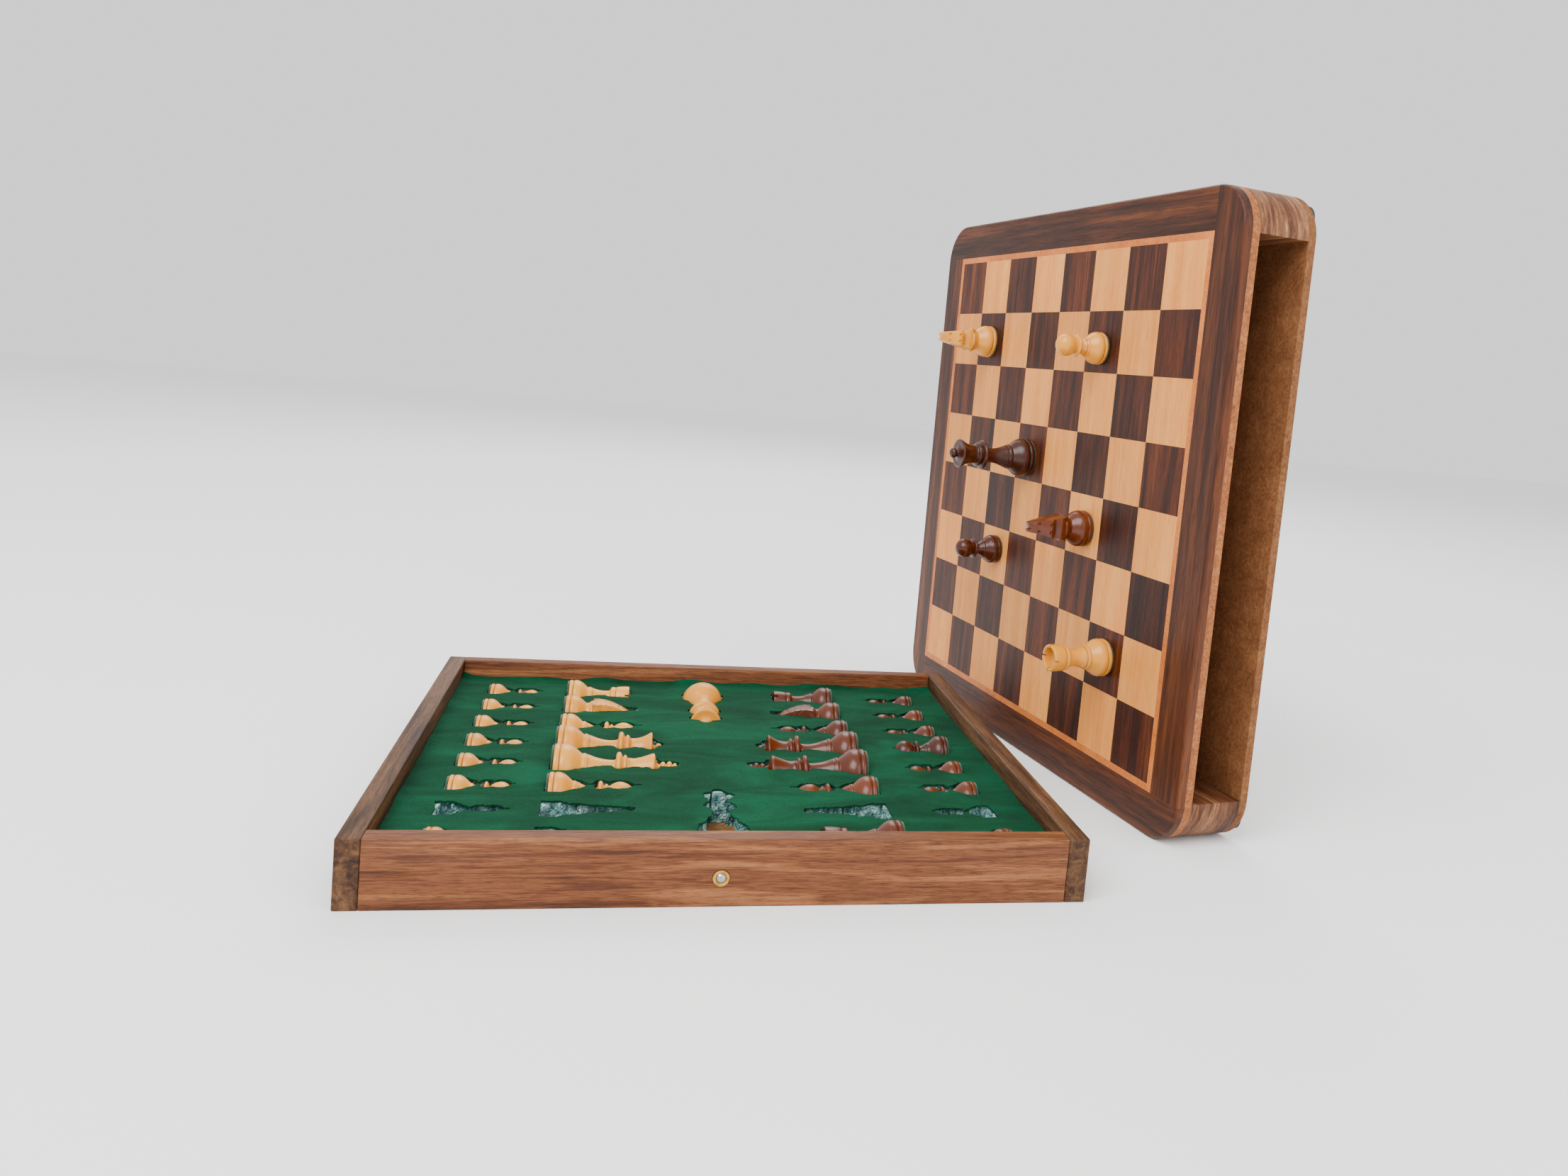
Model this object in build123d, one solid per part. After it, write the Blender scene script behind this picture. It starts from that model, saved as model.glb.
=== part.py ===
from build123d import *
import math
import os

# Magnetic travel chess set: a rounded case that carries the playing board on its face, and a
# shallow tray that slides into the case and holds the pieces in die-cut foam under velvet.
# Millimetres, +Z up. The origin is the middle of the tray's underside. X runs along the tray's
# front wall, Y towards its back. The case stands on one long edge to the right of the tray.

# --- case: sizes across the playing face, then through its thickness ---
square_size = 32.0
square_gap = 0.06
inlay_width = 3.4
frame_width = 21.0
corner_radius = 22.0
face_edge_round = 1.6
back_edge_round = 1.0
rail_width = 22.4
back_thickness = 4.6
base_board_thickness = 4.0
frame_thickness = 4.6
steel_thickness = 0.5
foot_radius = 6.0
foot_height = 1.6
foot_inset = 11.0

# --- where the case stands, seen from above ---
case_turn = 10.9
case_beside_tray = 72.2
case_place_y = 76.8

# --- tray ---
tray_side_gap = 0.6
tray_end_gap = 0.8
tray_top_gap = 1.0
king_below_rim = 1.4
tray_wall = 8.6
tray_bottom_thickness = 3.0
rim_depth = 9.0
velvet_thickness = 0.8
lining_gap = 0.3
slot_clearance = 0.5

# --- ball catch in the tray's front wall ---
catch_height = 11.2
catch_offset = -6.0
sleeve_radius = 3.15
sleeve_length = 7.8
sleeve_fit = 0.02
sleeve_bore = 2.3
lip_radius = 1.98
lip_thickness = 0.25
ball_radius = 2.2
ball_play = 0.02
spring_radius = 1.75
spring_wire = 0.2
spring_turns = 4
catch_hole_radius = 2.4
catch_hole_depth = 3.0

# --- pieces: total height and base radius of each kind, for squares of this size ---
drawn_square = 32.0
king_height, king_base = 56.0, 11.1
queen_height, queen_base = 49.5, 10.9
bishop_height, bishop_base = 39.0, 9.4
knight_height, knight_base = 36.5, 9.6
rook_height, rook_base = 32.5, 9.6
pawn_height, pawn_base = 27.0, 8.5
knight_head_width = 9.0
felt_thickness = 0.7
magnet_radius = 4.0
magnet_length = 3.0
magnet_fit = 0.05

# --- how the pieces lie in the tray: distances from its walls, and lifts off its bottom ---
first_row_inset = 25.8
last_row_inset = 15.6
pawn_inset = 16.7
rank_behind_pawns = 16.5
rank_shift_x = -3.5
spare_queen_inset = 24.8
spare_slot_inset = 18.3
king_lift, queen_lift, bishop_lift = 0.8, 1.0, 1.0
knight_lift, rook_lift, pawn_lift = 1.8, 2.2, 1.0
proud_pawn_lift = 3.4

# --- worked out from the sizes above ---
piece_scale = square_size / drawn_square
face_size = 8 * square_size + 2 * (inlay_width + frame_width)
half_face = face_size / 2
half_board = 4 * square_size
tray_height = tray_bottom_thickness + 2 * king_base * piece_scale + king_below_rim
cavity_height = tray_height + tray_top_gap
total_thickness = back_thickness + cavity_height + base_board_thickness + frame_thickness
base_board_z = back_thickness + cavity_height
top_layer_z = base_board_z + base_board_thickness
tray_length = face_size - rail_width - tray_end_gap
tray_depth = face_size - 2 * rail_width - 2 * tray_side_gap
half_length = tray_length / 2
half_depth = tray_depth / 2
inner_length = tray_length - 2 * tray_wall
inner_depth = tray_depth - 2 * tray_wall
velvet_top = tray_height - rim_depth
foam_top = velvet_top - velvet_thickness
case_place_x = half_length + case_beside_tray
row_pitch = (inner_depth - (first_row_inset + last_row_inset) * piece_scale) / 7
first_row_y = inner_depth / 2 - first_row_inset * piece_scale
pawn_base_x = inner_length / 2 - pawn_inset * piece_scale
rank_base_x = pawn_base_x - (pawn_height + rank_behind_pawns) * piece_scale
spare_queen_y = inner_depth / 2 - spare_queen_inset * piece_scale
spare_foot_y = spare_slot_inset * piece_scale - inner_depth / 2

# kind: height, base radius, and how far it lies clear of the tray's bottom
KINDS = {
    "king": (king_height * piece_scale, king_base * piece_scale, king_lift),
    "queen": (queen_height * piece_scale, queen_base * piece_scale, queen_lift),
    "bishop": (bishop_height * piece_scale, bishop_base * piece_scale, bishop_lift),
    "knight": (knight_height * piece_scale, knight_base * piece_scale, knight_lift),
    "rook": (rook_height * piece_scale, rook_base * piece_scale, rook_lift),
    "pawn": (pawn_height * piece_scale, pawn_base * piece_scale, pawn_lift),
}

RANK = ["rook_1", "knight_1", "bishop_1", "queen", "king", "bishop_2", "knight_2", "rook_2"]
# piece: column and row of its square, counted from the closed end and from the top
ON_BOARD = {
    "white_knight_2": (1.52, 1.55),
    "white_pawn_7": (5.47, 1.61),
    "brown_extra_queen": (3.40, 3.60),
    "brown_knight_2": (5.56, 4.55),
    "brown_pawn_7": (2.57, 5.40),
    "white_rook_2": (6.53, 6.46),
}

turn = math.radians(case_turn)
along_face = (math.sin(turn), -math.cos(turn), 0)
out_of_face = (-math.cos(turn), -math.sin(turn), 0)
# case frame: x from the closed end to the open end, y up, z out of the playing face
case_place = Plane(origin=(case_place_x, case_place_y, 0), x_dir=along_face, z_dir=out_of_face)


def block(x0, x1, y0, y1, z0, z1):
    size = Box(x1 - x0, y1 - y0, z1 - z0)
    return Pos((x0 + x1) / 2, (y0 + y1) / 2, (z0 + z1) / 2) * size


# ---------------------------------------------------------------- case

def case_outline():
    plan = Pos(0, half_face) * RectangleRounded(face_size, face_size, corner_radius)
    body = extrude(plan, total_thickness)
    body = fillet(body.edges().group_by(Axis.Z)[-1], face_edge_round)
    return fillet(body.edges().group_by(Axis.Z)[0], back_edge_round)


def back_panel(outline):
    return outline & block(-half_face, half_face, 0, face_size, 0, back_thickness)


def base_board(outline):
    return outline & block(-half_face, half_face, 0, face_size, base_board_z, top_layer_z)


def case_rails(outline):
    low, high = back_thickness, base_board_z
    lower = outline & block(-half_face, half_face, 0, rail_width, low, high)
    upper = outline & block(-half_face, half_face, face_size - rail_width, face_size, low, high)
    end = block(-half_face, rail_width - half_face, rail_width, face_size - rail_width, low, high)
    catch_x = half_face - half_length + catch_offset
    hole = Cylinder(catch_hole_radius, 2 * catch_hole_depth, rotation=(90, 0, 0))
    lower -= Pos(catch_x, rail_width, back_thickness + catch_height) * hole
    return {"lower_rail": lower, "upper_rail": upper, "end_rail": outline & end}


def face_frame(outline):
    edge, low, high = frame_width, top_layer_z, total_thickness
    far = face_size - edge
    parts = {
        "frame_closed_end": block(-half_face, edge - half_face, 0, far, low, high),
        "frame_bottom": block(edge - half_face, half_face, 0, edge, low, high),
        "frame_open_end": block(half_face - edge, half_face, edge, face_size, low, high),
        "frame_top": block(-half_face, half_face - edge, far, face_size, low, high),
    }
    return {name: outline & part for name, part in parts.items()}


def steel_sheet():
    half = half_board + inlay_width
    return block(-half, half, frame_width, face_size - frame_width,
                 top_layer_z, top_layer_z + steel_thickness)


def inlay_strips():
    low, high = top_layer_z + steel_thickness, total_thickness
    outer = half_board + inlay_width
    bottom, top = frame_width, face_size - frame_width
    return Compound(children=[
        block(-outer, -half_board, bottom, top, low, high),
        block(half_board, outer, bottom, top, low, high),
        block(-half_board, half_board, bottom, bottom + inlay_width, low, high),
        block(-half_board, half_board, top - inlay_width, top, low, high),
    ])


def square_centre(column, row):
    x = square_size * column - half_board
    y = half_face + half_board - square_size * row
    return x, y


def squares(parity):
    side = square_size - square_gap
    depth = total_thickness - top_layer_z - steel_thickness
    tile = Box(side, side, depth)
    tiles = []
    for row in range(8):
        for column in range(8):
            if (row + column) % 2 == parity:
                x, y = square_centre(column + 0.5, row + 0.5)
                tiles.append(Pos(x, y, total_thickness - depth / 2) * tile)
    return Compound(children=tiles)


def feet():
    reach = half_face - foot_inset
    pads = []
    for x in (-reach, reach):
        for y in (half_face - reach, half_face + reach):
            pads.append(Pos(x, y, -foot_height / 2) * Cylinder(foot_radius, foot_height))
    return Compound(children=pads)


# ---------------------------------------------------------------- tray

def tray_walls():
    cross = half_length - tray_wall
    sleeve_hole = Cylinder(sleeve_radius + sleeve_fit, 2 * sleeve_length, rotation=(90, 0, 0))
    front = block(-cross, cross, -half_depth, tray_wall - half_depth, 0, tray_height)
    front -= Pos(catch_offset, -half_depth, catch_height) * sleeve_hole
    return {
        "tray_front_wall": front,
        "tray_back_wall": block(-cross, cross, half_depth - tray_wall, half_depth, 0, tray_height),
        "tray_left_wall": block(-half_length, -cross, -half_depth, half_depth, 0, tray_height),
        "tray_right_wall": block(cross, half_length, -half_depth, half_depth, 0, tray_height),
    }


def tray_bottom():
    return Pos(0, 0, tray_bottom_thickness / 2) * Box(inner_length, inner_depth, tray_bottom_thickness)


def slot_outline(kind, where):
    height, base, _ = KINDS[kind]
    steps = SLOT_STEPS[kind]
    shape = Sketch()
    start = 0.0
    for end, share in steps:
        width = 2 * (base * share + slot_clearance)
        low = start * height - slot_clearance
        high = end * height + slot_clearance
        shape += Pos((low + high) / 2, 0) * Rectangle(high - low, width)
        start = end
    x, y, heading = where
    return Pos(x, y) * Rot(0, 0, heading) * shape


def tray_lining():
    cuts = Sketch()
    for kind, where in slots():
        cuts += slot_outline(kind, where)
    sheet = Rectangle(inner_length - 2 * lining_gap, inner_depth - 2 * lining_gap)
    cut_sheet = sheet - cuts
    foam = extrude(Pos(0, 0, tray_bottom_thickness) * cut_sheet, foam_top - tray_bottom_thickness)
    velvet = extrude(Pos(0, 0, foam_top) * cut_sheet, velvet_thickness)
    return {"foam_insert": foam, "velvet_cover": velvet}


def ball_depth():
    return lip_thickness + math.sqrt(ball_radius ** 2 - lip_radius ** 2) + ball_play


def ball_catch():
    # built along +Z, from the wall's outer face inwards
    shell = Pos(0, 0, sleeve_length / 2) * Cylinder(sleeve_radius, sleeve_length)
    room = sleeve_length - 2 * lip_thickness
    shell -= Pos(0, 0, lip_thickness + room / 2) * Cylinder(sleeve_bore, room)
    shell -= Pos(0, 0, lip_thickness / 2) * Cylinder(lip_radius, lip_thickness)
    ball = Pos(0, 0, ball_depth()) * Sphere(ball_radius)
    spring_start = ball_depth() + math.sqrt(ball_radius ** 2 - spring_radius ** 2) + 2 * spring_wire
    spring_end = sleeve_length - lip_thickness - spring_wire
    length = spring_end - spring_start
    path = Pos(0, 0, spring_start) * Helix(length / spring_turns, length, spring_radius)
    section = Plane(origin=path @ 0, z_dir=path % 0) * Circle(spring_wire)
    spring = sweep(section, path=path, is_frenet=True)
    wall_face = (catch_offset, -half_depth, catch_height)
    place = Plane(origin=wall_face, x_dir=(1, 0, 0), z_dir=(0, 1, 0))
    return {
        "catch_sleeve": place * shell,
        "catch_ball": place * ball,
        "catch_spring": place * spring,
    }


# ---------------------------------------------------------------- pieces

def turned(kind, outline):
    # outline: share of base radius, share of height, bulge of the arc that leads there
    height, base, _ = KINDS[kind]
    floor = felt_thickness
    points = [(0.0, floor, 0.0), (0.94 * base, floor, 0.0)]
    points += [(share * base, floor + rise * (height - floor), bulge) for share, rise, bulge in outline]
    edges = []
    for (r0, z0, _), (r1, z1, bulge) in zip(points, points[1:]):
        if bulge and r1 == 0:
            # a tip ends level on the axis
            bulge = math.tan(math.atan2(z1 - z0, r0) / 2) / 2
        if bulge:
            middle = ((r0 + r1) / 2 + bulge * (z1 - z0), 0, (z0 + z1) / 2 - bulge * (r1 - r0))
            edges.append(ThreePointArc((r0, 0, z0), middle, (r1, 0, z1)))
        else:
            edges.append(Line((r0, 0, z0), (r1, 0, z1)))
    edges.append(Line((0, 0, points[-1][1]), (0, 0, floor)))
    return revolve(make_face(edges), Axis.Z)


def weighted(wood, base):
    # the wood body with a magnet let into its foot and a felt disc under it
    pocket = magnet_length + magnet_fit
    wood -= Pos(0, 0, felt_thickness + pocket / 2) * Cylinder(magnet_radius + magnet_fit, pocket)
    magnet = Pos(0, 0, felt_thickness + magnet_length / 2) * Cylinder(magnet_radius, magnet_length)
    felt = Pos(0, 0, felt_thickness / 2) * Cylinder(0.92 * base, felt_thickness)
    return Compound(children=[wood, magnet, felt])


def foot_outline(rise):
    # the ring and the bulb that every kind stands on, up to the share of height given
    return [
        (1.00, 0.16 * rise, 0.2),
        (0.97, 0.26 * rise, 0.15),
        (0.93, 0.28 * rise, 0),
        (0.98, 0.42 * rise, 0.1),
        (0.60, 0.92 * rise, 0.22),
        (0.62, 1.00 * rise, 0),
    ]


def king():
    outline = foot_outline(0.23) + [
        (0.56, 0.27, -0.08),
        (0.36, 0.40, -0.06),
        (0.38, 0.485, -0.04),
        (0.66, 0.495, 0.2),
        (0.66, 0.535, 0.4),
        (0.48, 0.55, 0),
        (0.56, 0.575, 0.5),
        (0.48, 0.60, 0),
        (0.42, 0.62, 0),
        (0.66, 0.79, -0.06),
        (0.56, 0.805, 0.2),
        (0.22, 0.835, 0.15),
        (0.22, 0.855, 0),
        (0.32, 0.88, 0.45),
        (0.22, 0.90, 0),
        (0.34, 0.93, 0.45),
        (0.22, 0.955, 0),
        (0.28, 0.975, 0.4),
        (0.0, 1.0, 0.3),
    ]
    return turned("king", outline)


def queen():
    outline = foot_outline(0.25) + [
        (0.56, 0.29, -0.08),
        (0.36, 0.44, -0.06),
        (0.40, 0.565, -0.04),
        (0.72, 0.575, 0.2),
        (0.72, 0.62, 0.4),
        (0.52, 0.64, 0),
        (0.60, 0.665, 0.5),
        (0.50, 0.69, 0),
        (0.46, 0.72, 0),
        (0.52, 0.80, -0.05),
        (0.72, 0.865, -0.08),
        (0.66, 0.89, 0.3),
        (0.20, 0.925, -0.1),
        (0.26, 0.96, 0.4),
        (0.0, 1.0, 0.35),
    ]
    return turned("queen", outline)


def bishop():
    outline = foot_outline(0.27) + [
        (0.52, 0.31, -0.08),
        (0.28, 0.45, -0.07),
        (0.28, 0.535, -0.03),
        (0.58, 0.545, 0.2),
        (0.58, 0.585, 0.4),
        (0.40, 0.605, 0),
        (0.46, 0.63, 0.5),
        (0.36, 0.66, 0),
        (0.56, 0.78, 0.18),
        (0.10, 0.97, 0.12),
        (0.0, 1.0, 0.3),
    ]
    return turned("bishop", outline)


def rook():
    outline = foot_outline(0.32) + [
        (0.58, 0.38, -0.08),
        (0.44, 0.55, -0.06),
        (0.46, 0.68, -0.04),
        (0.64, 0.70, 0.2),
        (0.62, 0.765, 0.3),
        (0.66, 0.79, 0),
        (0.70, 1.0, -0.03),
        (0.50, 1.0, 0),
        (0.48, 0.86, 0),
        (0.0, 0.84, 0),
    ]
    tower = turned("rook", outline)
    height, base, _ = KINDS["rook"]
    rim = 0.07 * height
    notch = Box(2 * base, 0.9, rim)
    for heading in (0, 90):
        tower -= Pos(0, 0, height - rim / 2) * Rot(0, 0, heading) * notch
    return tower


def pawn():
    outline = foot_outline(0.34) + [
        (0.50, 0.40, -0.08),
        (0.34, 0.52, -0.06),
        (0.66, 0.55, 0.15),
        (0.66, 0.59, 0.4),
        (0.40, 0.62, 0),
        (0.66, 0.80, 0.2),
        (0.0, 1.0, 0.22),
    ]
    return turned("pawn", outline)


def knight():
    stem = turned("knight", foot_outline(0.30) + [
        (0.60, 0.35, 0),
        (0.72, 0.38, 0.3),
        (0.68, 0.42, 0),
        (0.0, 0.42, 0),
    ])
    # side view of the head and neck: shares of base radius forwards, shares of height upwards
    side = [
        (0.56, 0.415), (0.60, 0.47), (0.30, 0.58), (0.20, 0.66), (0.52, 0.62), (0.78, 0.64),
        (0.86, 0.70), (0.62, 0.80), (0.36, 0.89), (0.20, 0.93), (0.02, 1.00), (-0.16, 0.94),
        (-0.46, 0.86), (-0.64, 0.72), (-0.66, 0.56), (-0.60, 0.415),
    ]
    height, base, _ = KINDS["knight"]
    corners = [(x * base, z * height) for x, z in side]
    outline = Plane.XZ * make_face(Polyline(*corners, close=True))
    head = extrude(outline, knight_head_width * piece_scale / 2, both=True)
    head &= Pos(0, 0, height / 2) * Cylinder(0.86 * base, height)
    return stem + head


MAKERS = {"king": king, "queen": queen, "bishop": bishop, "knight": knight, "rook": rook, "pawn": pawn}
# slot shape of each kind: share of height where a step ends, share of base radius it spans
SLOT_STEPS = {
    "king": [(0.23, 1.0), (0.48, 0.64), (0.84, 0.74), (1.0, 0.44)],
    "queen": [(0.25, 1.0), (0.56, 0.64), (0.91, 0.78), (1.0, 0.36)],
    "bishop": [(0.27, 1.0), (0.53, 0.62), (0.92, 0.62), (1.0, 0.36)],
    "knight": [(0.36, 1.0), (0.60, 0.86), (1.0, 0.66)],
    "rook": [(0.32, 1.0), (0.68, 0.66), (1.0, 0.74)],
    "pawn": [(0.34, 1.0), (0.53, 0.62), (1.0, 0.70)],
}


def kind_of(name):
    return name.split("_")[-1] if name.split("_")[-1] in KINDS else name.split("_")[-2]


def row_y(row):
    return first_row_y - row * row_pitch


def tray_places():
    # name: x and y of the foot's centre, and the heading of the piece's axis in degrees
    places = {}
    for side, sign, heading in (("white", -1, 0), ("brown", 1, 180)):
        for row, name in enumerate(RANK):
            places[f"{side}_{name}"] = (sign * rank_base_x + rank_shift_x, row_y(row), heading)
        for row in range(8):
            places[f"{side}_pawn_{row + 1}"] = (sign * pawn_base_x, row_y(row), heading)
    places["white_extra_queen"] = (rank_shift_x, spare_queen_y, -90)
    places["brown_extra_queen"] = (rank_shift_x, spare_foot_y, 90)
    return places


def slots():
    return [(kind_of(name), where) for name, where in tray_places().items()]


def piece_plane(name):
    if name in ON_BOARD:
        x, y = square_centre(*ON_BOARD[name])
        spot = case_place.from_local_coords(Vector(x, y, total_thickness))
        return Plane(origin=spot, x_dir=along_face, z_dir=out_of_face)
    x, y, heading = tray_places()[name]
    _, base, lift = KINDS[kind_of(name)]
    lie = tray_bottom_thickness + base + lift
    if name == "brown_pawn_4":
        lie += proud_pawn_lift
    ahead = (math.cos(math.radians(heading)), math.sin(math.radians(heading)), 0)
    return Plane(origin=(x, y, lie), x_dir=(0, 0, -1), z_dir=ahead)


def pieces():
    turned_kinds = {kind: weighted(make(), KINDS[kind][1]) for kind, make in MAKERS.items()}
    return {name: piece_plane(name) * turned_kinds[kind_of(name)] for name in tray_places()}


def case_parts():
    outline = case_outline()
    parts = {"back_panel": back_panel(outline), "base_board": base_board(outline)}
    parts.update(case_rails(outline))
    parts.update(face_frame(outline))
    parts["steel_sheet"] = steel_sheet()
    parts["inlay_strips"] = inlay_strips()
    parts["dark_squares"] = squares(0)
    parts["light_squares"] = squares(1)
    parts["rubber_feet"] = feet()
    return {name: case_place * part for name, part in parts.items()}


def all_parts():
    parts = case_parts()
    parts.update(tray_walls())
    parts["tray_bottom"] = tray_bottom()
    parts.update(tray_lining())
    parts.update(ball_catch())
    parts.update(pieces())
    return parts


os.makedirs("parts", exist_ok=True)
for node, shape in all_parts().items():
    export_step(shape, f"parts/{node}.step")
    print(node, round(shape.volume, 1))
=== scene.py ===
import math
import random
import time

import bpy
from mathutils import Matrix, Vector, noise


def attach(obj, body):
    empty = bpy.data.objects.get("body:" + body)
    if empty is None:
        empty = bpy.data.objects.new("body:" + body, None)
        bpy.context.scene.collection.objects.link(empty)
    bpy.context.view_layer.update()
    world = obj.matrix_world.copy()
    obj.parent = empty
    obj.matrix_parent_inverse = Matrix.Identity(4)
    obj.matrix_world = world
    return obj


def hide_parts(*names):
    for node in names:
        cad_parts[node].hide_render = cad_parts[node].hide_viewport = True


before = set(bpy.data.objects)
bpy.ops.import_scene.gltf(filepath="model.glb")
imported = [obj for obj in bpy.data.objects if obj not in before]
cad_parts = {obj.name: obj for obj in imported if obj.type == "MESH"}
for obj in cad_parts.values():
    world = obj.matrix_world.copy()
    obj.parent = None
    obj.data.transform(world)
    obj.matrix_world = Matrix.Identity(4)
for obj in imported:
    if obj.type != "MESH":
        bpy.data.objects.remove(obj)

# Magnetic travel chess set: the board case stands on its long edge beside the open tray.
# Metres, +Z up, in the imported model's frame.

startedAt = time.time()
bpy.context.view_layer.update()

standingCase = {
    "turn": math.radians(10.9),
    "corner": Vector((0.2130, 0.0768, 0.0)),
    "face": 0.3048,
    "thickness": 0.0408,
    "square": 0.032,
}

tray = {
    "bottom": 0.0030,
    "foamTop": 0.0168,
    "velvetTop": 0.0176,
    "innerLength": 0.2644,
    "innerDepth": 0.2416,
    "gap": 0.0003,
}

pieceLayout = {
    "rowPitch": 0.0286,
    "firstRow": 0.0950,
    "pawnBase": 0.1155,
    "rankBase": 0.0720,
    "rankShift": -0.0035,
    "spareQueen": 0.0960,
    "spareSlot": -0.0530,
    "proudPawnLift": 0.0034,
    "rank": ["rook_1", "knight_1", "bishop_1", "queen", "king", "bishop_2", "knight_2", "rook_2"],
    # column and row on the board, from the closed end and from the top
    "onBoard": {
        "white_knight_2": (1.52, 1.55),
        "white_pawn_7": (5.47, 1.61),
        "brown_extra_queen": (3.40, 3.60),
        "brown_knight_2": (5.56, 4.55),
        "brown_pawn_7": (2.57, 5.40),
        "white_rook_2": (6.53, 6.46),
    },
}

turn = standingCase["turn"]
alongFace = Vector((math.sin(turn), -math.cos(turn), 0))
outOfFace = Vector((-math.cos(turn), -math.sin(turn), 0))


def stage(text):
    print(f"{text} ({time.time() - startedAt:.0f} s)")


def deselectAll():
    if bpy.context.object and bpy.context.object.mode != "OBJECT":
        bpy.ops.object.mode_set(mode="OBJECT")
    bpy.ops.object.select_all(action="DESELECT")


def pick(piece):
    deselectAll()
    piece.select_set(True)
    bpy.context.view_layer.objects.active = piece
    return piece


def applyModifier(piece, kind, **settings):
    pick(piece)
    modifier = piece.modifiers.new(kind.title(), kind)
    for name, value in settings.items():
        setattr(modifier, name, value)
    bpy.ops.object.modifier_apply(modifier=modifier.name)


def bakePlace(piece):
    pick(piece)
    bpy.ops.object.transform_apply(location=True, rotation=True, scale=True)


def fixNormals(piece):
    pick(piece)
    bpy.ops.object.mode_set(mode="EDIT")
    bpy.ops.mesh.select_all(action="SELECT")
    bpy.ops.mesh.remove_doubles(threshold=0.000002)
    bpy.ops.mesh.normals_make_consistent(inside=False)
    bpy.ops.object.mode_set(mode="OBJECT")


def smoothed(piece, degrees=40):
    pick(piece)
    bpy.ops.object.shade_smooth_by_angle(angle=math.radians(degrees))


def dress(piece, finish, body):
    piece.data.materials.clear()
    piece.data.materials.append(finish)
    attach(piece, body)
    return piece


class Nodes:
    # a short way to write a node tree: add a node, wire it, give its output back
    def __init__(self, name):
        self.material = bpy.data.materials.new(name)
        self.material.use_nodes = True
        self.tree = self.material.node_tree
        self.shader = self.tree.nodes["Principled BSDF"]

    def add(self, kind, settings=None, **inputs):
        node = self.tree.nodes.new(kind)
        for key, value in (settings or {}).items():
            setattr(node, key, value)
        for key, value in inputs.items():
            socket = node.inputs[int(key[1:])] if key[1:].isdigit() and key[0] == "n" else node.inputs[key]
            if isinstance(value, bpy.types.NodeSocket):
                self.tree.links.new(value, socket)
            else:
                socket.default_value = value
        return node

    def ramp(self, factor, stops):
        node = self.tree.nodes.new("ShaderNodeValToRGB")
        self.tree.links.new(factor, node.inputs["Fac"])
        while len(node.color_ramp.elements) < len(stops):
            node.color_ramp.elements.new(0.5)
        for element, (place, colour) in zip(node.color_ramp.elements, stops):
            element.position = place
            element.color = colour if len(colour) == 4 else (*colour, 1)
        return node.outputs["Color"]

    def mix(self, factor, first, second, blend="MIX"):
        node = self.tree.nodes.new("ShaderNodeMix")
        node.data_type, node.blend_type = "RGBA", blend
        for socket, value in zip((node.inputs[0], node.inputs[6], node.inputs[7]), (factor, first, second)):
            if isinstance(value, bpy.types.NodeSocket):
                self.tree.links.new(value, socket)
            else:
                socket.default_value = value if isinstance(value, float) else (*value, 1)[:4]
        return node.outputs[2]

    def sum(self, kind, first, second):
        node = self.tree.nodes.new("ShaderNodeMath")
        node.operation = kind
        for socket, value in zip(node.inputs, (first, second)):
            if isinstance(value, bpy.types.NodeSocket):
                self.tree.links.new(value, socket)
            else:
                socket.default_value = value
        return node.outputs[0]

    def wire(self, output, name):
        self.tree.links.new(output, self.shader.inputs[name])

    def bump(self, height, strength, distance):
        node = self.add("ShaderNodeBump", Strength=strength, Distance=distance, Height=height)
        self.wire(node.outputs["Normal"], "Normal")


def linear(*srgb):
    # a finish's colour from 0-255 screen values, deepened for bright studio light
    return tuple(((v / 255 + 0.055) / 1.055) ** (2.4 * 1.4) for v in srgb)


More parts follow.
